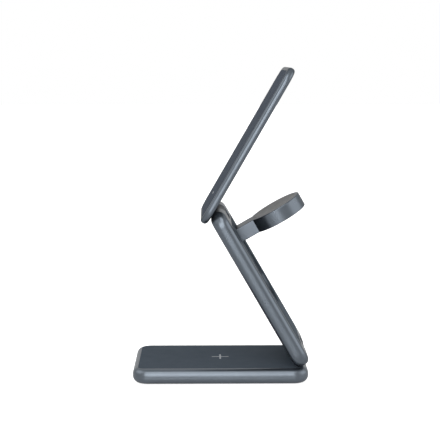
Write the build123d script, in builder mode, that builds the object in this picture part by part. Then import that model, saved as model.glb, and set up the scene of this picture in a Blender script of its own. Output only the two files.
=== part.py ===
from build123d import *
from math import cos, radians, sin
import os

# A folding charging stand: a base pad, a stem, a phone panel and a swing-out watch arm.
# Millimetres, +Z up. X runs along the hinges and -Y is the front, where the phone faces.
# The origin is the middle of the base's underside.

os.makedirs("parts", exist_ok=True)

# The stance of the open stand, as angles from +Y towards +Z
stem_angle = 120.0
phone_angle = 60.0
watch_angle = 30.0

# Panels
panel_width = 66.0
corner_radius = 9.7
base_length = 112.0
base_body_thickness = 9.6
base_nose_radius = 4.0
stem_length = 113.4
stem_thickness = 10.2
stem_nose_radius = 4.3
phone_length = 110.8
phone_thickness = 4.8
phone_nose_radius = 2.1
fold_gap = 0.3
plate_gap = 0.05

# Base
foot_proud = 0.4
foot_thickness = 0.8
foot_inset = 6.5
foot_band = 3.5
foot_corner = 6.0
face_inset_x = 4.7
face_inset_y = 3.4
face_corner = 4.5
top_plate_thickness = 1.0
bottom_cover_thickness = 1.6
base_wall = 5.5
cavity_corner = 4.0
mark_size = 11.0
mark_stroke = 1.1
mark_depth = 0.15
cover_screw_post_radius = 4.4
hinge_block_length = 16.0

# Charging parts in the base
base_coil_outer = 14.0
base_coil_inner = 6.5
base_coil_thickness = 0.8
base_ferrite_side = 32.0
base_ferrite_thickness = 0.7
carrier_side = 36.0
carrier_thickness = 1.0
carrier_leg_side = 3.0
coil_gap = 0.1
board_thickness = 0.8
board_side_gap = 1.0
board_margin = 2.0
board_front_margin = 1.0
board_back_gap = 2.1
standoff_inset = 3.0
standoff_back_inset = 16.0
standoff_radius = 2.2
peg_radius = 0.9
peg_clearance = 0.1
ballast_width = 44.0
ballast_height = 4.0
ballast_front_gap = 1.1
ballast_back_gap = 2.0
chip_height = 0.8
chip_side = 5.0
chip_places = ((-16.0, 0.0), (-3.5, 2.5))
capacitor_size = (3.2, 1.6)
capacitor_x = -9.8
capacitor_pitch = 3.5
chip_row_inset = 8.5
inductor_size = (6.4, 6.4, 2.8)
inductor_places = (3.0, 11.0)

# Power inlet
inlet_block_gap = 9.6
inlet_z = 5.2
inlet_width = 8.9
inlet_height = 3.2
inlet_depth = 7.4
inlet_wall = 0.3
inlet_clearance = 0.15
inlet_setback = 0.5
inlet_bay_depth = 2.6
inlet_bay_width = 12.0
tongue_width = 6.6
tongue_height = 0.7
tongue_length = 5.2

# Folding hinges
hinge_setback = 5.3
hinge_notch_width = 20.0
hinge_barrel_gap = 0.3
hinge_notch_gap = 0.55
barrel_radius = 4.8
hinge_neck_thickness = 3.6
hinge_pin_radius = 1.5
hinge_pin_length = 36.0
running_clearance = 0.04
seat_clearance = 0.02
bush_wall = 1.0
bush_length = 8.5
bush_flange_gap = 0.2
bush_slit = 0.5
lower_flange_length = 12.0
lower_flange_thickness = 1.2
upper_flange_low = 5.0
upper_flange_high = 11.5
upper_flange_thickness = 1.0
flange_corner = 2.0
screw_radius = 0.8
screw_head_radius = 1.5
screw_head_height = 0.8
screw_length = 3.2
upper_screw_length = 3.0
socket_radius = 0.7
socket_depth = 0.4
screw_spread = 6.5
screw_edge_distance = 2.6

# Stem
front_plate_thickness = 0.7
back_plate_thickness = 0.8
stem_plate_end_gap = 1.5
channel_wall = 1.6
channel_width = 7.0
channel_corner = 2.0
wiring_bay_length = 19.0
wiring_bay_half_width = 18.0
relay_chip_side = 4.0
relay_chip_pitch = 9.0
relay_board_gap = 1.0

# Phone panel
phone_overhang = 7.1
face_plate_thickness = 0.9
phone_back_wall = 2.2
phone_cavity_inset = 4.2
phone_coil_y = 58.0
phone_coil_inner = 10.5
phone_coil_thickness = 0.8
phone_ferrite_thickness = 0.6
magnet_side_gap = 1.3
magnet_width = 4.0
ring_gap = 1.0
magnet_thickness = 1.2
magnet_count = 16
magnet_gap = 1.2
phone_board_size = (34.0, 10.0)
phone_board_y = 22.0
phone_chip_side = 4.0
phone_chip_pitch = 7.5
phone_face_inset = 3.0
phone_face_corner = 7.0
phone_mark_size = (7.0, 1.2)
phone_mark_y = 10.4

# Watch arm
watch_pivot_drop = 17.75
watch_thickness = 9.1
watch_disc_radius = 18.0
watch_reach = 33.0
watch_arm_width = 16.0
watch_side_gap = 0.5
watch_root_gap = 0.4
watch_top_gap = 0.1
watch_edge_radius = 0.5
watch_pin_radius = 1.0
watch_pin_length = 28.0
washer_radius = 3.2
washer_gap = 0.06
charge_face_radius = 15.4
charge_face_thickness = 1.1
charge_dish_depth = 0.35
watch_web_thickness = 1.5
watch_coil_depth = 1.95
watch_board_thickness = 0.8
watch_wall = 1.6
watch_coil_outer = 12.5
watch_coil_inner = 6.2
watch_coil_thickness = 1.0
watch_ferrite_thickness = 0.8
watch_magnet_radius = 4.5
watch_magnet_thickness = 3.2
watch_cover_radius = 15.0
watch_cover_thickness = 0.9

# Places worked out from the sizes above
base_top = foot_proud + base_body_thickness
lower_axis = Vector(0, base_length / 2 - hinge_setback, base_top + fold_gap + stem_thickness / 2)
stem_span = stem_length - stem_thickness
stem_plane = Plane(
    lower_axis,
    x_dir=(1, 0, 0),
    z_dir=(0, -sin(radians(stem_angle)), cos(radians(stem_angle))),
)
upper_axis = stem_plane.from_local_coords(Vector(0, stem_span, 0))
phone_plane = Plane(
    upper_axis,
    x_dir=(1, 0, 0),
    z_dir=(0, -sin(radians(phone_angle)), cos(radians(phone_angle))),
)
stem_front = stem_thickness / 2
stem_back = -stem_thickness / 2
watch_pivot_depth = stem_back + watch_top_gap + watch_thickness / 2
watch_pivot_y = stem_span - watch_pivot_drop
watch_axis = stem_plane.from_local_coords(Vector(0, watch_pivot_y, watch_pivot_depth))
watch_plane = Plane(
    watch_axis,
    x_dir=(1, 0, 0),
    z_dir=(0, -sin(radians(watch_angle)), cos(radians(watch_angle))),
)
base_normal = Axis(Plane.XY.origin, Plane.XY.z_dir)
stem_normal = Axis(stem_plane.origin, stem_plane.z_dir)
phone_normal = Axis(phone_plane.origin, phone_plane.z_dir)
watch_normal = Axis(watch_plane.origin, watch_plane.z_dir)
phone_back = stem_thickness / 2 + fold_gap
phone_face = phone_back + phone_thickness
phone_low = -phone_overhang
phone_high = phone_length - phone_overhang
stem_low = -stem_thickness / 2
stem_high = stem_length - stem_thickness / 2
along_x = (0, 90, 0)


def slab(plane, width, y_low, y_high, corner, thickness, mode=Mode.ADD):
    """Extrude a rounded rectangle, centred on x, from a plane along its normal."""
    with BuildSketch(plane) as outline:
        with Locations((0, (y_low + y_high) / 2)):
            RectangleRounded(width, y_high - y_low, corner)
    extrude(outline.sketch, amount=thickness, mode=mode)


def bull_nosed_slab(plane, width, y_low, y_high, corner, thickness, nose):
    """A slab whose two outlines are rounded over, as a milled and polished edge is."""
    slab(plane, width, y_low, y_high, corner, thickness)
    across = Axis(plane.origin, plane.z_dir)
    levels = faces().sort_by(across)
    fillet(levels[0].edges() + levels[-1].edges(), nose)


def ring(plane, outer, inner, thickness):
    """A flat ring standing on a plane."""
    with BuildSketch(plane) as outline:
        Circle(outer)
        Circle(inner, mode=Mode.SUBTRACT)
    extrude(outline.sketch, amount=thickness)


def finish(part, name):
    """Label a finished piece and write its file."""
    part.label = name
    export_step(part, f"parts/{name}.step")


def screw(length, head):
    """A screw standing head down on z = 0, its head being a flat cone or a straight disc."""
    if head == "cone":
        neck = [(screw_radius, screw_head_radius - screw_radius)]
    else:
        neck = [(screw_head_radius, screw_head_height), (screw_radius, screw_head_height)]
    with BuildSketch(Plane.XZ) as half:
        with BuildLine():
            Polyline((0, 0), (screw_head_radius, 0), *neck, (screw_radius, length), (0, length), close=True)
        make_face()
    with BuildPart(mode=Mode.PRIVATE) as turned:
        revolve(half.sketch, axis=Axis.Z)
        with BuildSketch(Plane.XY) as socket:
            RegularPolygon(socket_radius, 6)
        extrude(socket.sketch, amount=socket_depth, mode=Mode.SUBTRACT)
    return turned.part


# The base's levels and places
half_width = panel_width / 2
half_base = base_length / 2
face_width = panel_width - 2 * face_inset_x
face_end = half_base - face_inset_y
plate_width = face_width - 2 * plate_gap
plate_end = face_end - plate_gap
plate_corner = face_corner - plate_gap
cavity_width = panel_width - 2 * base_wall
cavity_front = -half_base + base_wall
block_front = face_end - hinge_block_length
top_plate_bottom = base_top - top_plate_thickness
cover_top = foot_proud + bottom_cover_thickness
inlet_y = block_front - inlet_block_gap
base_board_x = (board_side_gap - cavity_width / 2, carrier_side / 2 + board_margin)
base_board_y = (-carrier_side / 2 - board_front_margin, block_front - board_back_gap)
foot_width = panel_width - 2 * foot_inset
foot_length = base_length - 2 * foot_inset
foot_bend = (foot_corner - foot_band / 2) * cos(radians(45))
cover_screw_x = foot_width / 2 - foot_corner + foot_bend
cover_screw_y = foot_length / 2 - foot_corner + foot_bend
cover_screw_spots = [
    (x, y) for x in (-cover_screw_x, cover_screw_x) for y in (-cover_screw_y, cover_screw_y)
]
board_top = inlet_z - inlet_height / 2
board_bottom = board_top - board_thickness
flange_level = top_plate_bottom - lower_flange_thickness
flange_centre = lower_axis.Y - lower_flange_length / 2 + hinge_neck_thickness / 2
flange_width = hinge_notch_width - 2 * hinge_barrel_gap
slot_gap = 0.1
bush_outer = hinge_pin_radius + bush_wall
bush_start = hinge_notch_width / 2 + bush_flange_gap
lower_screw_y = flange_centre - lower_flange_length / 2 + screw_edge_distance
upper_screw_y = upper_flange_high - screw_edge_distance
screw_columns = (-screw_spread, screw_spread)

# Base housing: a metal frame with a plate seat on top, a cover seat below and a solid hinge block
with BuildPart() as base_housing:
    bull_nosed_slab(
        Plane.XY.offset(foot_proud), panel_width, -half_base, half_base,
        corner_radius, base_body_thickness, base_nose_radius,
    )
    slab(
        Plane.XY.offset(top_plate_bottom), face_width, -face_end, face_end,
        face_corner, 2 * top_plate_thickness, mode=Mode.SUBTRACT,
    )
    slab(Plane.XY, face_width, -face_end, face_end, face_corner, cover_top, mode=Mode.SUBTRACT)
    slab(
        Plane.XY, cavity_width, cavity_front, block_front,
        cavity_corner, top_plate_bottom + 1, mode=Mode.SUBTRACT,
    )
    with Locations((-half_width + base_wall - inlet_bay_depth / 2, inlet_y, cover_top)):
        Box(
            inlet_bay_depth + 1, inlet_bay_width, top_plate_bottom - cover_top - 1,
            align=(Align.CENTER, Align.CENTER, Align.MIN), mode=Mode.SUBTRACT,
        )
    with Locations((cover_screw_x, -cover_screw_y, cover_top), (-cover_screw_x, -cover_screw_y, cover_top)):
        Cylinder(
            cover_screw_post_radius, top_plate_bottom - cover_top,
            align=(Align.CENTER, Align.CENTER, Align.MIN),
        )
    with Locations([(x, y, cover_top) for x, y in cover_screw_spots]):
        Cylinder(screw_radius + seat_clearance, 2 * screw_length, mode=Mode.SUBTRACT)
    slab(
        Plane.XY.offset(flange_level), flange_width + 2 * slot_gap,
        flange_centre - lower_flange_length / 2 - slot_gap,
        flange_centre + lower_flange_length / 2 + slot_gap,
        flange_corner, top_plate_thickness + lower_flange_thickness, mode=Mode.SUBTRACT,
    )
    with Locations([(x, lower_screw_y, flange_level) for x in screw_columns]):
        Cylinder(screw_radius + seat_clearance, 2 * screw_length, mode=Mode.SUBTRACT)
    with BuildSketch(Plane.YZ.offset(-half_width - 1)) as inlet_mouth:
        with Locations((inlet_y, inlet_z)):
            SlotOverall(inlet_width + 2 * inlet_clearance, inlet_height + 2 * inlet_clearance)
    extrude(amount=base_wall + 1, mode=Mode.SUBTRACT)
finish(base_housing.part, "base_housing")

# Top plate: the charging surface, notched at the back for the hinge neck, with a shallow plus in it
with BuildPart() as base_top_plate:
    slab(
        Plane.XY.offset(top_plate_bottom), plate_width, -plate_end, plate_end,
        plate_corner, top_plate_thickness,
    )
    with Locations((0, half_base, base_top)):
        Box(
            flange_width + 2 * slot_gap,
            2 * (half_base - lower_axis.Y + hinge_neck_thickness / 2 + slot_gap),
            4 * top_plate_thickness, mode=Mode.SUBTRACT,
        )
    with BuildSketch(Plane.XY.offset(base_top)) as mark_cut:
        Rectangle(mark_size, mark_stroke)
        Rectangle(mark_stroke, mark_size)
    extrude(amount=-mark_depth, mode=Mode.SUBTRACT)
finish(base_top_plate.part, "base_top_plate")

# The pale plus that marks where the earbud case goes
with BuildPart() as base_charge_mark:
    with BuildSketch(Plane.XY.offset(base_top - mark_depth)) as mark_outline:
        Rectangle(mark_size, mark_stroke)
        Rectangle(mark_stroke, mark_size)
    extrude(amount=mark_depth)
finish(base_charge_mark.part, "base_charge_mark")

# Bottom cover: carries the board on four standoffs and has a groove for the foot
standoff_x = (base_board_x[0] + standoff_inset, base_board_x[1] - standoff_inset)
standoff_y = (base_board_y[0] + standoff_inset, base_board_y[1] - standoff_back_inset)
standoff_places = [(x, y) for x in standoff_x for y in standoff_y]
with BuildPart() as base_bottom_cover:
    slab(
        Plane.XY.offset(foot_proud), plate_width, -plate_end, plate_end,
        plate_corner, bottom_cover_thickness,
    )
    with BuildSketch(Plane.XY) as foot_recess:
        RectangleRounded(foot_width, foot_length, foot_corner)
        RectangleRounded(
            foot_width - 2 * foot_band, foot_length - 2 * foot_band,
            foot_corner - foot_band, mode=Mode.SUBTRACT,
        )
    extrude(amount=foot_thickness, mode=Mode.SUBTRACT)
    with Locations([(x, y, cover_top) for x, y in standoff_places]):
        Cylinder(
            standoff_radius, board_bottom - cover_top, align=(Align.CENTER, Align.CENTER, Align.MIN),
        )
    with Locations([(x, y, board_bottom) for x, y in standoff_places]):
        Cylinder(peg_radius, board_thickness, align=(Align.CENTER, Align.CENTER, Align.MIN))
    with Locations([(x, y, foot_thickness + screw_head_height) for x, y in cover_screw_spots]):
        Cylinder(screw_radius + peg_clearance, 4 * bottom_cover_thickness, mode=Mode.SUBTRACT)
        Cylinder(
            screw_head_radius + peg_clearance, foot_thickness + screw_head_height,
            align=(Align.CENTER, Align.CENTER, Align.MAX), mode=Mode.SUBTRACT,
        )
finish(base_bottom_cover.part, "base_bottom_cover")

# Foot: one rubber ring in the cover's groove, over the screw heads
with BuildPart() as base_foot_ring:
    with BuildSketch(Plane.XY) as foot_outline:
        RectangleRounded(foot_width - 2 * plate_gap, foot_length - 2 * plate_gap, foot_corner)
        RectangleRounded(
            foot_width - 2 * foot_band + 2 * plate_gap, foot_length - 2 * foot_band + 2 * plate_gap,
            foot_corner - foot_band, mode=Mode.SUBTRACT,
        )
    extrude(amount=foot_thickness)
    fillet(faces().sort_by(base_normal)[0].edges(), foot_proud / 2)
finish(base_foot_ring.part, "base_foot_ring")

# Four screws hold the cover to the housing
with BuildPart() as base_cover_screws:
    with Locations([(x, y, foot_thickness) for x, y in cover_screw_spots]):
        add(screw(screw_length, "disc"))
finish(base_cover_screws.part, "base_cover_screws")

# Circuit board, with a tab under the inlet
with BuildPart() as base_circuit_board:
    with BuildSketch(Plane.XY.offset(board_bottom)) as board_outline:
        with Locations((sum(base_board_x) / 2, sum(base_board_y) / 2)):
            Rectangle(base_board_x[1] - base_board_x[0], base_board_y[1] - base_board_y[0])
        with Locations((base_board_x[0], inlet_y)):
            Rectangle(2 * inlet_bay_depth, inlet_bay_width - 1)
        with Locations(standoff_places):
            Circle(peg_radius + peg_clearance, mode=Mode.SUBTRACT)
    extrude(amount=board_thickness)
finish(base_circuit_board.part, "base_circuit_board")

# Chips, capacitors and coils on the board, behind the coil carrier
chip_row = base_board_y[1] - chip_row_inset
on_top = (Align.CENTER, Align.CENTER, Align.MIN)
with BuildPart() as base_board_chips:
    with Locations([(x, chip_row + y, board_top) for x, y in chip_places]):
        Box(chip_side, chip_side, chip_height, align=on_top)
    with Locations((capacitor_x, chip_row, board_top)):
        with GridLocations(1, capacitor_pitch, 1, 3):
            Box(*capacitor_size, chip_height, align=on_top)
finish(base_board_chips.part, "base_board_chips")

with BuildPart() as base_power_inductors:
    with Locations([(x, chip_row, board_top) for x in inductor_places]):
        Box(*inductor_size, align=on_top)
    fillet(edges().filter_by(Axis.Z), 1.0)
finish(base_power_inductors.part, "base_power_inductors")

# Power inlet: a thin metal shell, open towards -X, with the contact tongue inside
inlet_mouth_x = -half_width + inlet_setback
with BuildPart() as inlet_shell:
    with BuildSketch(Plane.YZ.offset(inlet_mouth_x)) as shell_outline:
        with Locations((inlet_y, inlet_z)):
            SlotOverall(inlet_width, inlet_height)
    extrude(amount=inlet_depth)
    with BuildSketch(Plane.YZ.offset(inlet_mouth_x)) as shell_bore:
        with Locations((inlet_y, inlet_z)):
            SlotOverall(inlet_width - 2 * inlet_wall, inlet_height - 2 * inlet_wall)
    extrude(amount=inlet_depth - inlet_wall, mode=Mode.SUBTRACT)
finish(inlet_shell.part, "inlet_shell")

with BuildPart() as inlet_tongue:
    with Locations((inlet_mouth_x + inlet_depth - inlet_wall, inlet_y, inlet_z)):
        Box(
            tongue_length, tongue_width, tongue_height,
            align=(Align.MAX, Align.CENTER, Align.CENTER),
        )
    fillet(faces().sort_by(Axis.X)[0].edges().filter_by(Axis.Z), 0.5)
finish(inlet_tongue.part, "inlet_tongue")

# Ballast plate in the front of the base, so that a heavy phone doesn't tip it
ballast_front = -cover_screw_y + cover_screw_post_radius + ballast_front_gap
ballast_back = base_board_y[0] - ballast_back_gap
with BuildPart() as base_ballast:
    with Locations((0, (ballast_front + ballast_back) / 2, cover_top)):
        Box(ballast_width, ballast_back - ballast_front, ballast_height, align=on_top)
    fillet(edges().filter_by(Axis.Z), 1.5)
finish(base_ballast.part, "base_ballast")

# Coil, its ferrite sheet and the carrier that presses both up to the top plate
coil_bottom = top_plate_bottom - coil_gap - base_coil_thickness
ferrite_bottom = coil_bottom - base_ferrite_thickness
carrier_bottom = ferrite_bottom - carrier_thickness
with BuildPart() as base_coil:
    ring(Plane.XY.offset(coil_bottom), base_coil_outer, base_coil_inner, base_coil_thickness)
finish(base_coil.part, "base_coil")

with BuildPart() as base_ferrite:
    with Locations((0, 0, ferrite_bottom)):
        Box(
            base_ferrite_side, base_ferrite_side, base_ferrite_thickness,
            align=(Align.CENTER, Align.CENTER, Align.MIN),
        )
finish(base_ferrite.part, "base_ferrite")

with BuildPart() as base_coil_carrier:
    with Locations((0, 0, carrier_bottom)):
        Box(
            carrier_side, carrier_side, carrier_thickness,
            align=(Align.CENTER, Align.CENTER, Align.MIN),
        )
    leg_place = (carrier_side - carrier_leg_side) / 2
    with Locations([(x, y, board_top) for x in (-leg_place, leg_place) for y in (-leg_place, leg_place)]):
        Box(
            carrier_leg_side, carrier_leg_side, carrier_bottom - board_top,
            align=(Align.CENTER, Align.CENTER, Align.MIN),
        )
finish(base_coil_carrier.part, "base_coil_carrier")

# Lower hinge bracket: a barrel on a neck, with a flange screwed to the housing's hinge block
with BuildPart() as lower_hinge_bracket:
    with Locations(lower_axis):
        Cylinder(barrel_radius, flange_width, rotation=along_x)
    with Locations((0, lower_axis.Y, top_plate_bottom)):
        Box(
            flange_width, hinge_neck_thickness, lower_axis.Z - top_plate_bottom,
            align=(Align.CENTER, Align.CENTER, Align.MIN),
        )
    slab(
        Plane.XY.offset(flange_level), flange_width, flange_centre - lower_flange_length / 2,
        flange_centre + lower_flange_length / 2, flange_corner, lower_flange_thickness,
    )
    with Locations(lower_axis):
        Cylinder(hinge_pin_radius + seat_clearance, 2 * flange_width, rotation=along_x, mode=Mode.SUBTRACT)
    with Locations([(x, lower_screw_y, top_plate_bottom) for x in screw_columns]):
        CounterSinkHole(
            screw_radius + peg_clearance, screw_head_radius,
            depth=2 * lower_flange_thickness, counter_sink_angle=90,
        )
finish(lower_hinge_bracket.part, "lower_hinge_bracket")

with BuildPart() as lower_hinge_screws:
    with Locations(
        Location((screw_spread, lower_screw_y, top_plate_bottom), (180, 0, 0)),
        Location((-screw_spread, lower_screw_y, top_plate_bottom), (180, 0, 0)),
    ):
        add(screw(screw_length, "cone"))
finish(lower_hinge_screws.part, "lower_hinge_screws")


def hinge_pin(plane, length, radius):
    """A steel pin along the hinge axis, chamfered at both ends."""
    with Locations(plane.origin):
        Cylinder(radius, length, rotation=along_x)
    ends = faces().sort_by(Axis.X)
    chamfer(ends[0].edges() + ends[-1].edges(), radius / 5)


def hinge_bushes(plane, first, length, outer, bore):
    """Two slit friction bushes on one axis, one each side of the middle."""
    for side in (-1, 1):
        end = plane.origin + Vector(side * first, 0, 0)
        with BuildSketch(Plane(end, x_dir=plane.y_dir, z_dir=(side, 0, 0))) as tube:
            Circle(outer)
            Circle(bore, mode=Mode.SUBTRACT)
            with Locations(((outer + bore) / 2, 0)):
                Rectangle(outer - bore + 1, bush_slit, mode=Mode.SUBTRACT)
        extrude(tube.sketch, amount=length)


with BuildPart() as lower_hinge_pin:
    hinge_pin(stem_plane, hinge_pin_length, hinge_pin_radius)
finish(lower_hinge_pin.part, "lower_hinge_pin")

with BuildPart() as upper_hinge_pin:
    hinge_pin(phone_plane, hinge_pin_length, hinge_pin_radius)
finish(upper_hinge_pin.part, "upper_hinge_pin")

with BuildPart() as lower_hinge_bushes:
    hinge_bushes(stem_plane, bush_start, bush_length, bush_outer, hinge_pin_radius + running_clearance)
finish(lower_hinge_bushes.part, "lower_hinge_bushes")

with BuildPart() as upper_hinge_bushes:
    hinge_bushes(phone_plane, bush_start, bush_length, bush_outer, hinge_pin_radius + running_clearance)
finish(upper_hinge_bushes.part, "upper_hinge_bushes")

# Stem housing: its ends are round about the hinge axes, so that it turns clear of both panels.
# It is notched at both ends for the hinge barrels. The watch arm's recess goes through to the front
# plate, both faces have a plate seat, and two channels and a wiring bay lie under the front plate.
notch_depth = barrel_radius + hinge_notch_gap
stem_plate_low = notch_depth + stem_plate_end_gap
stem_plate_high = stem_span - notch_depth - stem_plate_end_gap
recess_top = watch_pivot_y + watch_thickness / 2 + watch_root_gap
recess_disc_y = watch_pivot_y - watch_reach
recess_radius = watch_disc_radius + watch_side_gap
slot_half = watch_arm_width / 2 + watch_side_gap
channel_x = half_width - base_wall - channel_width / 2
channel_low = stem_plate_low + channel_wall
channel_high = stem_plate_high - channel_wall
stem_middle = stem_plane.from_local_coords(Vector(0, stem_span / 2, 0))
channel_depth = stem_thickness - front_plate_thickness - back_plate_thickness - channel_wall


def watch_recess(plane, depth):
    """Cut the watch arm's outline, with its side gap, from a plane along its normal."""
    with BuildSketch(plane) as recess:
        with Locations((0, recess_disc_y)):
            Circle(recess_radius)
        with Locations((0, (recess_disc_y + recess_top) / 2)):
            Rectangle(2 * slot_half, recess_top - recess_disc_y)
    extrude(recess.sketch, amount=depth, mode=Mode.SUBTRACT)


with BuildPart(stem_plane) as stem_housing:
    bull_nosed_slab(
        stem_plane.offset(stem_back), panel_width, stem_low, stem_high,
        corner_radius, stem_thickness, stem_nose_radius,
    )
    with BuildSketch(Plane.YZ) as stem_profile:
        with Locations(Location((stem_middle.Y, stem_middle.Z), stem_angle)):
            SlotOverall(stem_length, stem_thickness)
    extrude(amount=panel_width, both=True, mode=Mode.INTERSECT)
    for notch_y, away in ((0, Align.MAX), (stem_span, Align.MIN)):
        inward = notch_depth if notch_y == 0 else -notch_depth
        with Locations((0, notch_y + inward, 0)):
            Box(
                hinge_notch_width, 2 * stem_thickness, 2 * stem_thickness,
                align=(Align.CENTER, away, Align.CENTER), mode=Mode.SUBTRACT,
            )
    slab(
        stem_plane.offset(stem_front - front_plate_thickness), face_width, stem_plate_low,
        stem_plate_high, face_corner, front_plate_thickness, mode=Mode.SUBTRACT,
    )
    slab(
        stem_plane.offset(stem_back), face_width, stem_plate_low, stem_plate_high,
        face_corner, back_plate_thickness, mode=Mode.SUBTRACT,
    )
    watch_recess(stem_plane.offset(stem_back), stem_thickness)
    with BuildSketch(stem_plane.offset(stem_front)) as channels:
        with Locations(
            (channel_x, (channel_low + channel_high) / 2), (-channel_x, (channel_low + channel_high) / 2)
        ):
            RectangleRounded(channel_width, channel_high - channel_low, channel_corner)
        with Locations((0, channel_low + wiring_bay_length / 2)):
            RectangleRounded(2 * wiring_bay_half_width, wiring_bay_length, channel_corner)
    extrude(amount=-front_plate_thickness - channel_depth, mode=Mode.SUBTRACT)
    for bore_y in (0, stem_span):
        with Locations((0, bore_y, 0)):
            Cylinder(
                bush_outer + seat_clearance, 2 * (bush_start + bush_length), rotation=along_x,
                mode=Mode.SUBTRACT,
            )
    with Locations((0, watch_pivot_y, watch_pivot_depth)):
        Cylinder(
            watch_pin_radius + seat_clearance, watch_pin_length + 0.4, rotation=along_x,
            mode=Mode.SUBTRACT,
        )
finish(stem_housing.part, "stem_housing")

with BuildPart() as stem_front_plate:
    slab(
        stem_plane.offset(stem_front - front_plate_thickness), face_width - 2 * plate_gap,
        stem_plate_low + plate_gap, stem_plate_high - plate_gap, face_corner, front_plate_thickness,
    )
finish(stem_front_plate.part, "stem_front_plate")

with BuildPart() as stem_back_plate:
    slab(
        stem_plane.offset(stem_back), face_width - 2 * plate_gap, stem_plate_low + plate_gap,
        stem_plate_high - plate_gap, face_corner, back_plate_thickness,
    )
    watch_recess(stem_plane.offset(stem_back), back_plate_thickness)
finish(stem_back_plate.part, "stem_back_plate")

# Relay board in the bay between the lower hinge and the watch recess
relay_floor = stem_front - front_plate_thickness - channel_depth
with BuildPart() as stem_relay_board:
    slab(
        stem_plane.offset(relay_floor), 2 * (wiring_bay_half_width - relay_board_gap),
        channel_low + relay_board_gap, channel_low + wiring_bay_length - relay_board_gap, channel_corner / 2, board_thickness,
    )
finish(stem_relay_board.part, "stem_relay_board")

with BuildPart(stem_plane) as stem_relay_chips:
    with Locations((0, channel_low + wiring_bay_length / 2, relay_floor + board_thickness)):
        with GridLocations(relay_chip_pitch, 1, 3, 1):
            Box(relay_chip_side, relay_chip_side, chip_height, align=on_top)
finish(stem_relay_chips.part, "stem_relay_chips")

# Phone panel shell: a shallow metal tray with a solid foot round the hinge flange
phone_face_low = phone_low + phone_face_inset
phone_face_high = phone_high - phone_face_inset
phone_seat = phone_face - face_plate_thickness
phone_floor = phone_back + phone_back_wall
phone_cavity_low = upper_flange_high + 2.0
phone_cavity_high = phone_high - phone_cavity_inset
magnet_outer = panel_width / 2 - phone_cavity_inset - magnet_side_gap
magnet_inner = magnet_outer - magnet_width
phone_ferrite_radius = magnet_inner - ring_gap
phone_coil_outer = phone_ferrite_radius - ring_gap
with BuildPart(phone_plane) as phone_shell:
    bull_nosed_slab(
        phone_plane.offset(phone_back), panel_width, phone_low, phone_high,
        corner_radius, phone_thickness, phone_nose_radius,
    )
    slab(
        phone_plane.offset(phone_seat), panel_width - 2 * phone_face_inset, phone_face_low, phone_face_high,
        phone_face_corner, 2 * face_plate_thickness, mode=Mode.SUBTRACT,
    )
    slab(
        phone_plane.offset(phone_floor), panel_width - 2 * phone_cavity_inset, phone_cavity_low,
        phone_cavity_high, cavity_corner, phone_thickness, mode=Mode.SUBTRACT,
    )
    slab(
        phone_plane.offset(phone_back + upper_flange_thickness), flange_width + 2 * slot_gap,
        -upper_flange_low - slot_gap, upper_flange_high + slot_gap, flange_corner,
        -2 * upper_flange_thickness, mode=Mode.SUBTRACT,
    )
    with Locations(
        (screw_spread, upper_screw_y, phone_back), (-screw_spread, upper_screw_y, phone_back)
    ):
        Cylinder(screw_radius + seat_clearance, 2 * upper_screw_length + 0.4, mode=Mode.SUBTRACT)
finish(phone_shell.part, "phone_shell")

with BuildPart() as phone_face_plate:
    slab(
        phone_plane.offset(phone_seat), panel_width - 2 * phone_face_inset - 2 * plate_gap, phone_face_low + plate_gap,
        phone_face_high - plate_gap, phone_face_corner, face_plate_thickness,
    )
    with BuildSketch(phone_plane.offset(phone_face)) as bar_cut:
        with Locations((0, phone_mark_y)):
            Rectangle(*phone_mark_size)
    extrude(amount=-mark_depth, mode=Mode.SUBTRACT)
finish(phone_face_plate.part, "phone_face_plate")

with BuildPart() as phone_face_mark:
    with BuildSketch(phone_plane.offset(phone_face - mark_depth)) as bar_outline:
        with Locations((0, phone_mark_y)):
            Rectangle(*phone_mark_size)
    extrude(amount=mark_depth)
finish(phone_face_mark.part, "phone_face_mark")

# Phone coil, ferrite disc and the ring of alignment magnets round them
phone_coil_plane = Plane(
    phone_plane.from_local_coords(Vector(0, phone_coil_y, 0)),
    x_dir=phone_plane.x_dir,
    z_dir=phone_plane.z_dir,
)
with BuildPart() as phone_ferrite:
    ring(
        phone_coil_plane.offset(phone_floor), phone_ferrite_radius, phone_coil_inner / 2,
        phone_ferrite_thickness,
    )
finish(phone_ferrite.part, "phone_ferrite")

with BuildPart() as phone_coil:
    ring(
        phone_coil_plane.offset(phone_floor + phone_ferrite_thickness), phone_coil_outer,
        phone_coil_inner, phone_coil_thickness,
    )
finish(phone_coil.part, "phone_coil")

with BuildPart() as phone_magnet_ring:
    with BuildSketch(phone_coil_plane.offset(phone_floor)) as magnets:
        Circle(magnet_outer)
        Circle(magnet_inner, mode=Mode.SUBTRACT)
        with PolarLocations((magnet_outer + magnet_inner) / 2, magnet_count):
            Rectangle(2 * (magnet_outer - magnet_inner), magnet_gap, mode=Mode.SUBTRACT)
    extrude(amount=magnet_thickness)
finish(phone_magnet_ring.part, "phone_magnet_ring")

with BuildPart() as phone_circuit_board:
    slab(
        phone_plane.offset(phone_floor), phone_board_size[0], phone_board_y - phone_board_size[1] / 2,
        phone_board_y + phone_board_size[1] / 2, channel_corner / 2, board_thickness,
    )
finish(phone_circuit_board.part, "phone_circuit_board")

with BuildPart(phone_plane) as phone_board_chips:
    with Locations((0, phone_board_y, phone_floor + board_thickness)):
        with GridLocations(phone_chip_pitch, 1, 4, 1):
            Box(phone_chip_side, phone_chip_side, chip_height, align=on_top)
finish(phone_board_chips.part, "phone_board_chips")

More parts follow.
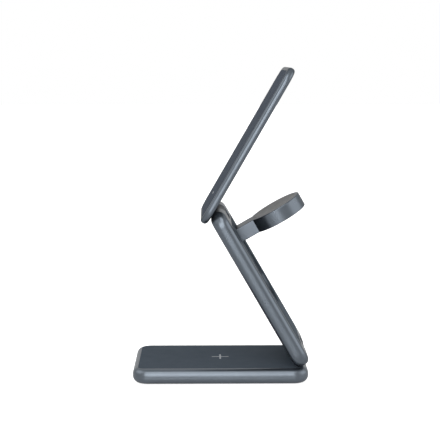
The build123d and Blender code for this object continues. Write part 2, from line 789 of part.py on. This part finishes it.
# Upper hinge bracket: a barrel on a neck, with a flange let into the phone panel's back
with BuildPart(phone_plane) as upper_hinge_bracket:
    Cylinder(barrel_radius, flange_width, rotation=along_x)
    Box(
        flange_width, hinge_neck_thickness, phone_back + upper_flange_thickness / 2,
        align=(Align.CENTER, Align.CENTER, Align.MIN),
    )
    slab(
        phone_plane.offset(phone_back), flange_width, -upper_flange_low, upper_flange_high,
        flange_corner, upper_flange_thickness,
    )
    Cylinder(hinge_pin_radius + seat_clearance, 2 * flange_width, rotation=along_x, mode=Mode.SUBTRACT)
    with Locations(
        Location((screw_spread, upper_screw_y, phone_back), (180, 0, 0)),
        Location((-screw_spread, upper_screw_y, phone_back), (180, 0, 0)),
    ):
        CounterSinkHole(
            screw_radius + peg_clearance, screw_head_radius,
            depth=2 * upper_flange_thickness, counter_sink_angle=90,
        )
finish(upper_hinge_bracket.part, "upper_hinge_bracket")

with BuildPart(phone_plane) as upper_hinge_screws:
    with Locations((screw_spread, upper_screw_y, phone_back), (-screw_spread, upper_screw_y, phone_back)):
        add(screw(upper_screw_length, "cone"))
finish(upper_hinge_screws.part, "upper_hinge_screws")

# Watch arm: a round-ended arm and a disc in one piece, hollow above for the coil
disc_plane = Plane(
    watch_plane.from_local_coords(Vector(0, watch_reach, 0)),
    x_dir=watch_plane.x_dir,
    z_dir=watch_plane.z_dir,
)
watch_top = watch_thickness / 2
watch_seat = watch_top - charge_face_thickness
watch_floor = watch_seat - watch_coil_depth
web_bottom = watch_floor - watch_web_thickness
cover_level = watch_cover_thickness - watch_top
well_radius = charge_face_radius - watch_wall
with BuildPart(watch_plane) as watch_arm_housing:
    with BuildSketch(disc_plane.offset(-watch_top)) as disc_outline:
        Circle(watch_disc_radius)
    extrude(amount=watch_thickness)
    with BuildSketch(watch_plane.offset(-watch_top)) as arm_outline:
        with Locations((0, watch_reach / 2)):
            Rectangle(watch_arm_width, watch_reach)
    extrude(amount=watch_thickness)
    Cylinder(watch_top, watch_arm_width, rotation=along_x)
    rims = edges().filter_by(Axis.X, reverse=True).filter_by(watch_normal, reverse=True)
    fillet(rims, watch_edge_radius)
    with BuildSketch(disc_plane.offset(watch_top)) as face_seat:
        Circle(charge_face_radius + plate_gap)
    extrude(amount=-charge_face_thickness, mode=Mode.SUBTRACT)
    with BuildSketch(disc_plane.offset(watch_seat)) as coil_well:
        Circle(well_radius)
    extrude(amount=-watch_coil_depth, mode=Mode.SUBTRACT)
    with BuildSketch(disc_plane.offset(watch_floor)) as magnet_hole:
        Circle(watch_magnet_radius + plate_gap)
    extrude(amount=-watch_web_thickness, mode=Mode.SUBTRACT)
    with BuildSketch(disc_plane.offset(web_bottom)) as board_well:
        Circle(watch_cover_radius - watch_wall)
    extrude(amount=-(web_bottom - cover_level), mode=Mode.SUBTRACT)
    with BuildSketch(disc_plane.offset(-watch_top)) as cover_seat:
        Circle(watch_cover_radius + plate_gap)
    extrude(amount=watch_cover_thickness, mode=Mode.SUBTRACT)
    Cylinder(watch_pin_radius + running_clearance, 2 * watch_arm_width, rotation=along_x, mode=Mode.SUBTRACT)
finish(watch_arm_housing.part, "watch_arm_housing")

# Charging face, dished for the watch's round back
dish_radius = (charge_face_radius**2 + charge_dish_depth**2) / (2 * charge_dish_depth)
with BuildPart(disc_plane) as watch_charge_face:
    with BuildSketch(disc_plane.offset(watch_top - charge_face_thickness)) as charge_outline:
        Circle(charge_face_radius)
    extrude(amount=charge_face_thickness)
    with Locations((0, 0, watch_top + dish_radius - charge_dish_depth)):
        Sphere(dish_radius, mode=Mode.SUBTRACT)
finish(watch_charge_face.part, "watch_charge_face")

# Coil on its ferrite, close under the charging face, with the magnet through the middle
magnet_bottom = watch_seat - plate_gap - watch_magnet_thickness
with BuildPart() as watch_ferrite:
    ring(
        disc_plane.offset(watch_floor), watch_coil_outer, watch_magnet_radius + 0.5,
        watch_ferrite_thickness,
    )
finish(watch_ferrite.part, "watch_ferrite")

with BuildPart() as watch_coil:
    ring(
        disc_plane.offset(watch_floor + watch_ferrite_thickness), watch_coil_outer, watch_coil_inner,
        watch_coil_thickness,
    )
finish(watch_coil.part, "watch_coil")

with BuildPart() as watch_magnet:
    with BuildSketch(disc_plane.offset(magnet_bottom)) as magnet_outline:
        Circle(watch_magnet_radius)
    extrude(amount=watch_magnet_thickness)
finish(watch_magnet.part, "watch_magnet")

# Ring board on the underside of the web
with BuildPart() as watch_circuit_board:
    ring(
        disc_plane.offset(web_bottom - watch_board_thickness), watch_coil_outer,
        watch_magnet_radius + 1.0, watch_board_thickness,
    )
finish(watch_circuit_board.part, "watch_circuit_board")

# Bottom cover, with a boss that carries the magnet
with BuildPart() as watch_bottom_cover:
    with BuildSketch(disc_plane.offset(-watch_top)) as watch_cover_outline:
        Circle(watch_cover_radius)
    extrude(amount=watch_cover_thickness)
    with BuildSketch(disc_plane.offset(cover_level)) as magnet_boss:
        Circle(watch_magnet_radius)
    extrude(amount=magnet_bottom - cover_level)
finish(watch_bottom_cover.part, "watch_bottom_cover")

with BuildPart() as watch_hinge_pin:
    hinge_pin(watch_plane, watch_pin_length, watch_pin_radius)
finish(watch_hinge_pin.part, "watch_hinge_pin")

# Washers that fill the gap beside the arm's root
with BuildPart() as watch_hinge_washers:
    for side in (-1, 1):
        washer_face = Plane(
            watch_axis + Vector(side * (watch_arm_width / 2 + washer_gap), 0, 0),
            x_dir=watch_plane.y_dir, z_dir=(side, 0, 0),
        )
        ring(washer_face, washer_radius, watch_pin_radius + seat_clearance, watch_side_gap - 2 * washer_gap)
finish(watch_hinge_washers.part, "watch_hinge_washers")
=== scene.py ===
from math import cos, pi, radians, sin

import bpy
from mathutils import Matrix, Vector


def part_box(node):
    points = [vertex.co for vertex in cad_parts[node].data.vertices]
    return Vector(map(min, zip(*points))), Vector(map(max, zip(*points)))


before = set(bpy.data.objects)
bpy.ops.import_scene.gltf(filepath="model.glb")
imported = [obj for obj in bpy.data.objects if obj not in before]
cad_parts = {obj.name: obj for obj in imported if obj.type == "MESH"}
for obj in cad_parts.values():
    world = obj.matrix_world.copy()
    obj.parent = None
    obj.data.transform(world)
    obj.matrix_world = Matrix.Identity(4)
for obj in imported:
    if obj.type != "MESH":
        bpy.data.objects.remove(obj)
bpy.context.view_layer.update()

# A folding charging stand. Every visible shape is a CAD node, and this script gives each its
# material and adds the camera, floor, room and lamps. Lengths are in metres and angles in degrees.

# The camera's place, turn and focal length, as fitted to the photograph's edges
FRAME_PIXELS = 440
FOCAL_PIXELS = 1116.3
SENSOR_MM = 36.0
CAMERA_PLACE = (0.7147, -0.00855, 0.2059)
CAMERA_PITCH_DOWN = 8.354
CAMERA_YAW = 0.678

# Colours
WHITE = (1, 1, 1, 1)
SLATE = (0.098, 0.113, 0.131)
PLATE = (0.0505, 0.064, 0.080)
FACE = (0.036, 0.046, 0.063)
MARK = (0.215, 0.232, 0.25)
DISC = (0.082, 0.083, 0.083)
RUBBER = (0.018, 0.018, 0.020)
PLASTIC = (0.030, 0.033, 0.037)
STEEL = (0.34, 0.335, 0.33)
DARK_STEEL = (0.026, 0.030, 0.035)
BRONZE = (0.56, 0.42, 0.20)
FERRITE = (0.035, 0.035, 0.038)
BOARD = (0.012, 0.075, 0.035)
CHIP = (0.012, 0.012, 0.013)
COPPER = (0.60, 0.26, 0.13)

# The textures that every plain material shares: clouding of the colour, uneven polish and grain
CLOUD_SIZE = 0.018
CLOUD_DETAIL = 3
POLISH_SIZE = 0.007
POLISH_DETAIL = 5
POLISH_ROUGHNESS = 0.6
GRAIN_DETAIL = 2
GRAIN_STRENGTH = 0.2

# Wound wire. Blender's wave texture repeats every 0.314 m at a scale of one. The grooves between
# the turns get painted shade: the copper there is darkened to this share of its colour, fading out
# between the dark end and the bright start. The relief is a share of the pitch.
WAVE_REPEAT = 0.314
WIRE_GROOVE_PAINTED_SHADE = 0.45
WIRE_DARK_END = 0.05
WIRE_BRIGHT_START = 0.55
WIRE_STRENGTH = 0.8
WIRE_RELIEF = 1 / 3
WIRE_METALLIC = 0.9
WIRE_ROUGHNESS = 0.32

# How steep the phone panel and the watch's charging disc stand
PHONE_SLOPE = 60
WATCH_SLOPE = 30

# Floor: how it looks lit, and the brightness added where the camera or a reflection sees it
FLOOR_SIZE = 8.0
FLOOR_TONE = 0.80
FLOOR_ROUGHNESS = 0.3
FLOOR_SPECULAR = 0.5
FLOOR_SEEN = 0.80
FLOOR_MIRRORED = 0.18

# Room light, and the lamps' common aim
ROOM_COLOUR = (0.97, 0.98, 1.0, 1)
ROOM_STRENGTH = 0.45
BACKDROP_STRENGTH = 1.0
LAMP_TARGET_HEIGHT = 0.1
LAMP_DISTANCE = 1.5

collection = bpy.context.scene.collection

camera_data = bpy.data.cameras.new("camera")
camera_data.sensor_width = SENSOR_MM
camera_data.lens = FOCAL_PIXELS * SENSOR_MM / FRAME_PIXELS
camera = bpy.data.objects.new("camera", camera_data)
camera.location = CAMERA_PLACE
camera.rotation_euler = (radians(90 - CAMERA_PITCH_DOWN), 0, radians(90 - CAMERA_YAW))
collection.objects.link(camera)
bpy.context.scene.camera = camera


def new_material(name):
    """A node material with its nodes, links and shader."""
    material = bpy.data.materials.new(name)
    material.use_nodes = True
    nodes = material.node_tree.nodes
    return material, nodes, material.node_tree.links, nodes["Principled BSDF"]


def grey(value):
    """A grey with its alpha."""
    return (value, value, value, 1)


def shade(colour, factor):
    """A colour made darker or lighter, with its alpha."""
    return tuple(channel * factor for channel in colour) + (1,)


def noise(nodes, links, coordinates, size, detail, roughness=0.5):
    """Noise whose features are about size metres across, fixed to the object."""
    texture = nodes.new("ShaderNodeTexNoise")
    texture.inputs["Scale"].default_value = 1 / size
    texture.inputs["Detail"].default_value = detail
    texture.inputs["Roughness"].default_value = roughness
    links.new(coordinates, texture.inputs["Vector"])
    return texture.outputs["Fac"]


def ramp(nodes, links, source, low, high, start=0.3, end=0.7):
    """Maps a texture's value to a range of colours."""
    colours = nodes.new("ShaderNodeValToRGB")
    first, last = colours.color_ramp.elements
    first.position = start
    first.color = low
    last.position = end
    last.color = high
    links.new(source, colours.inputs["Fac"])
    return colours.outputs["Color"]


def relief(nodes, links, shader, source, strength, depth):
    """Turns a texture's value into relief about depth metres high."""
    bump = nodes.new("ShaderNodeBump")
    bump.inputs["Strength"].default_value = strength
    bump.inputs["Distance"].default_value = depth
    links.new(source, bump.inputs["Height"])
    links.new(bump.outputs["Normal"], shader.inputs["Normal"])


def surface(
    name, colour, roughness, grain, depth,
    metallic=0.0, variation=0.06, spread=0.05, specular=0.5, rim=1.0,
):
    """A material with fine grain, faint clouding of its colour and uneven polish.

    grain is the grain's size and depth its height. variation is how far the colour varies, spread
    how far the roughness does, and rim how bright the reflections are at a flat angle.
    """
    material, nodes, links, shader = new_material(name)
    coordinates = nodes.new("ShaderNodeTexCoord").outputs["Object"]
    clouds = noise(nodes, links, coordinates, CLOUD_SIZE, CLOUD_DETAIL)
    tint = ramp(nodes, links, clouds, shade(colour, 1 - variation), shade(colour, 1 + variation))
    links.new(tint, shader.inputs["Base Color"])
    handling = noise(nodes, links, coordinates, POLISH_SIZE, POLISH_DETAIL, POLISH_ROUGHNESS)
    polish = ramp(nodes, links, handling, grey(roughness - spread), grey(roughness + spread))
    links.new(polish, shader.inputs["Roughness"])
    fine = noise(nodes, links, coordinates, grain, GRAIN_DETAIL)
    relief(nodes, links, shader, fine, GRAIN_STRENGTH, depth)
    shader.inputs["Metallic"].default_value = metallic
    shader.inputs["Specular IOR Level"].default_value = specular
    shader.inputs["Specular Tint"].default_value = grey(rim)
    return material


def slate(name, roughness, rim):
    """The blasted and anodised metal of the housings."""
    return surface(
        name, SLATE, roughness, grain=0.0003, depth=0.000012,
        metallic=0.9, variation=0.03, spread=0.025, rim=rim,
    )


def matte_plate(name, colour):
    """The soft matte finish of the plates."""
    return surface(
        name, colour, roughness=0.7, grain=0.00045, depth=0.00003,
        variation=0.02, spread=0.05, specular=0.04,
    )


def winding(name, node, along, pitch):
    """Copper wire wound in a flat spiral: fine rings of relief about the middle of a coil, with
    painted shade in the grooves between the turns.
    """
    material, nodes, links, shader = new_material(name)
    low, high = (Vector(corner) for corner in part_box(node))
    offset = nodes.new("ShaderNodeVectorMath")
    offset.operation = "SUBTRACT"
    offset.inputs[1].default_value = (low + high) / 2
    links.new(nodes.new("ShaderNodeTexCoord").outputs["Object"], offset.inputs[0])
    flat = nodes.new("ShaderNodeCombineXYZ")
    for axis, direction in (("X", (1, 0, 0)), ("Y", along)):
        part = nodes.new("ShaderNodeVectorMath")
        part.operation = "DOT_PRODUCT"
        part.inputs[1].default_value = direction
        links.new(offset.outputs["Vector"], part.inputs[0])
        links.new(part.outputs["Value"], flat.inputs[axis])
    turns = nodes.new("ShaderNodeTexWave")
    turns.wave_type = "RINGS"
    turns.rings_direction = "SPHERICAL"
    turns.inputs["Scale"].default_value = WAVE_REPEAT / pitch
    links.new(flat.outputs["Vector"], turns.inputs["Vector"])
    height = turns.outputs["Fac"]
    # Painted shade: the copper is darkened in the grooves between the turns
    tint = ramp(
        nodes, links, height, shade(COPPER, WIRE_GROOVE_PAINTED_SHADE), shade(COPPER, 1),
        WIRE_DARK_END, WIRE_BRIGHT_START,
    )
    links.new(tint, shader.inputs["Base Color"])
    relief(nodes, links, shader, height, WIRE_STRENGTH, pitch * WIRE_RELIEF)
    shader.inputs["Metallic"].default_value = WIRE_METALLIC
    shader.inputs["Roughness"].default_value = WIRE_ROUGHNESS
    return material


def up_slope(degrees):
    """The direction up a panel that leans back from the horizontal by some degrees."""
    return (0, cos(radians(degrees)), sin(radians(degrees)))


# The same slate metal on each housing, copied with a different rim on each part: painted shade in
# the reflections, which dims them at a flat angle by a different amount from part to part.
stem_metal = slate("slate_metal", roughness=0.29, rim=0.55)
base_metal = slate("base_metal", roughness=0.32, rim=0.8)
arm_metal = slate("arm_metal", roughness=0.29, rim=0.5)
panel_metal = slate("panel_metal", roughness=0.29, rim=0.35)
dark_plate = matte_plate("dark_plate", PLATE)
face_plate = matte_plate("face_plate", FACE)
pale_mark = surface("pale_mark", MARK, roughness=0.5, grain=0.0002, depth=0.00002)
charge_face = surface(
    "charge_face", DISC, roughness=0.42, grain=0.0003, depth=0.00002,
    variation=0.03, specular=0.12,
)
foot_rubber = surface(
    "foot_rubber", RUBBER, roughness=0.8, grain=0.0006, depth=0.0001,
    variation=0.15, spread=0.08, specular=0.25,
)
cover_plastic = surface(
    "cover_plastic", PLASTIC, roughness=0.6, grain=0.0005, depth=0.00008,
    variation=0.08, spread=0.06,
)
steel = surface(
    "steel", STEEL, roughness=0.36, grain=0.0003, depth=0.00003,
    metallic=1.0, variation=0.05, spread=0.06,
)
dark_steel = surface(
    "dark_steel", DARK_STEEL, roughness=0.38, grain=0.0003, depth=0.00002,
    metallic=1.0, rim=0.5,
)
bush_metal = surface(
    "bush_metal", BRONZE, roughness=0.35, grain=0.0003, depth=0.00003,
    metallic=1.0, variation=0.08, spread=0.06,
)
ferrite = surface(
    "ferrite", FERRITE, roughness=0.6, grain=0.0005, depth=0.00006,
    variation=0.12, spread=0.08,
)
board_green = surface(
    "board_green", BOARD, roughness=0.28, grain=0.0012, depth=0.00003,
    variation=0.15, spread=0.06,
)
chip_black = surface(
    "chip_black", CHIP, roughness=0.5, grain=0.0002, depth=0.00002, variation=0.1,
)
base_winding = winding("base_winding", "base_coil", up_slope(0), pitch=0.0007)
phone_winding = winding("phone_winding", "phone_coil", up_slope(PHONE_SLOPE), pitch=0.0009)
watch_winding = winding("watch_winding", "watch_coil", up_slope(WATCH_SLOPE), pitch=0.0006)

# The pieces that each material goes on
finishes = {
    stem_metal: ("stem_housing",),
    base_metal: ("base_housing",),
    arm_metal: ("watch_arm_housing",),
    panel_metal: ("phone_shell",),
    dark_plate: ("base_top_plate", "stem_front_plate", "stem_back_plate"),
    face_plate: ("phone_face_plate",),
    pale_mark: ("base_charge_mark", "phone_face_mark"),
    foot_rubber: ("base_foot_ring",),
    cover_plastic: ("base_bottom_cover", "base_coil_carrier", "watch_bottom_cover"),
    charge_face: ("watch_charge_face",),
    dark_steel: (
        "lower_hinge_bracket", "upper_hinge_bracket", "lower_hinge_screws", "upper_hinge_screws",
    ),
    steel: (
        "base_cover_screws", "base_ballast", "inlet_shell", "lower_hinge_pin", "upper_hinge_pin",
        "watch_hinge_pin", "watch_hinge_washers", "phone_magnet_ring", "watch_magnet",
    ),
    bush_metal: ("lower_hinge_bushes", "upper_hinge_bushes"),
    ferrite: ("base_power_inductors", "base_ferrite", "phone_ferrite", "watch_ferrite"),
    board_green: (
        "base_circuit_board", "stem_relay_board", "phone_circuit_board", "watch_circuit_board",
    ),
    chip_black: ("base_board_chips", "inlet_tongue", "stem_relay_chips", "phone_board_chips"),
    base_winding: ("base_coil",),
    phone_winding: ("phone_coil",),
    watch_winding: ("watch_coil",),
}
for material, names in finishes.items():
    for name in names:
        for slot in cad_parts[name].material_slots:
            slot.material = material


def maths(nodes, links, operation, *values):
    """The output of a maths node that works on outputs of other nodes and on plain numbers."""
    node = nodes.new("ShaderNodeMath")
    node.operation = operation
    for socket, value in zip(node.inputs, values):
        if isinstance(value, float):
            socket.default_value = value
        else:
            links.new(value, socket)
    return node.outputs["Value"]


def lay_floor():
    """A pale, slightly glossy floor that looks white and takes the object's shadow."""
    reach = FLOOR_SIZE / 2
    corners = [(-reach, -reach, 0), (reach, -reach, 0), (reach, reach, 0), (-reach, reach, 0)]
    mesh = bpy.data.meshes.new("floor")
    mesh.from_pydata(corners, [], [(0, 1, 2, 3)])
    floor = bpy.data.objects.new("floor", mesh)
    collection.objects.link(floor)
    material, nodes, links, shader = new_material("floor")
    shader.inputs["Base Color"].default_value = grey(FLOOR_TONE)
    shader.inputs["Roughness"].default_value = FLOOR_ROUGHNESS
    shader.inputs["Specular IOR Level"].default_value = FLOOR_SPECULAR
    rays = nodes.new("ShaderNodeLightPath")
    seen = maths(nodes, links, "MULTIPLY", rays.outputs["Is Camera Ray"], FLOOR_SEEN)
    added = maths(
        nodes, links, "MULTIPLY_ADD", rays.outputs["Is Glossy Ray"], FLOOR_MIRRORED, seen,
    )
    lift = nodes.new("ShaderNodeEmission")
    lift.inputs["Color"].default_value = WHITE
    links.new(added, lift.inputs["Strength"])
    both = nodes.new("ShaderNodeAddShader")
    links.new(shader.outputs["BSDF"], both.inputs[0])
    links.new(lift.outputs["Emission"], both.inputs[1])
    links.new(both.outputs["Shader"], nodes["Material Output"].inputs["Surface"])
    mesh.materials.append(material)


def light_room():
    """A plain pale room, white where the camera or a reflection sees it."""
    world = bpy.data.worlds.new("room")
    bpy.context.scene.world = world
    world.use_nodes = True
    nodes = world.node_tree.nodes
    links = world.node_tree.links
    room = nodes["Background"]
    room.inputs["Color"].default_value = ROOM_COLOUR
    room.inputs["Strength"].default_value = ROOM_STRENGTH
    backdrop = nodes.new("ShaderNodeBackground")
    backdrop.inputs["Color"].default_value = WHITE
    backdrop.inputs["Strength"].default_value = BACKDROP_STRENGTH
    rays = nodes.new("ShaderNodeLightPath")
    mirrored = maths(
        nodes, links, "MAXIMUM", rays.outputs["Is Glossy Ray"], rays.outputs["Is Transmission Ray"],
    )
    shown = maths(nodes, links, "MAXIMUM", rays.outputs["Is Camera Ray"], mirrored)
    choose = nodes.new("ShaderNodeMixShader")
    links.new(shown, choose.inputs["Fac"])
    links.new(room.outputs["Background"], choose.inputs[1])
    links.new(backdrop.outputs["Background"], choose.inputs[2])
    links.new(choose.outputs["Shader"], nodes["World Output"].inputs["Surface"])


def softbox(name, azimuth, elevation, width, height, radiance):
    """A soft rectangular lamp that faces the object. Its power gives its face the radiance."""
    ring = cos(radians(elevation))
    toward = Vector((
        ring * cos(radians(azimuth)),
        ring * sin(radians(azimuth)),
        sin(radians(elevation)),
    ))
    data = bpy.data.lights.new(name, "AREA")
    data.shape = "RECTANGLE"
    data.size = width
    data.size_y = height
    data.energy = radiance * pi * width * height
    lamp = bpy.data.objects.new(name, data)
    lamp.location = Vector((0, 0, LAMP_TARGET_HEIGHT)) + toward * LAMP_DISTANCE
    lamp.rotation_euler = toward.to_track_quat("Z", "Y").to_euler()
    collection.objects.link(lamp)


lay_floor()
light_room()
softbox("front_lamp", azimuth=-7, elevation=11, width=0.84, height=0.98, radiance=4.3)
softbox("high_lamp", azimuth=-7, elevation=50, width=0.84, height=1.15, radiance=3.0)
softbox("right_lamp", azimuth=83, elevation=20, width=1.50, height=1.09, radiance=1.42)
softbox("left_lamp", azimuth=-88, elevation=40, width=1.25, height=1.09, radiance=1.5)

bpy.context.scene.view_settings.view_transform = "Standard"
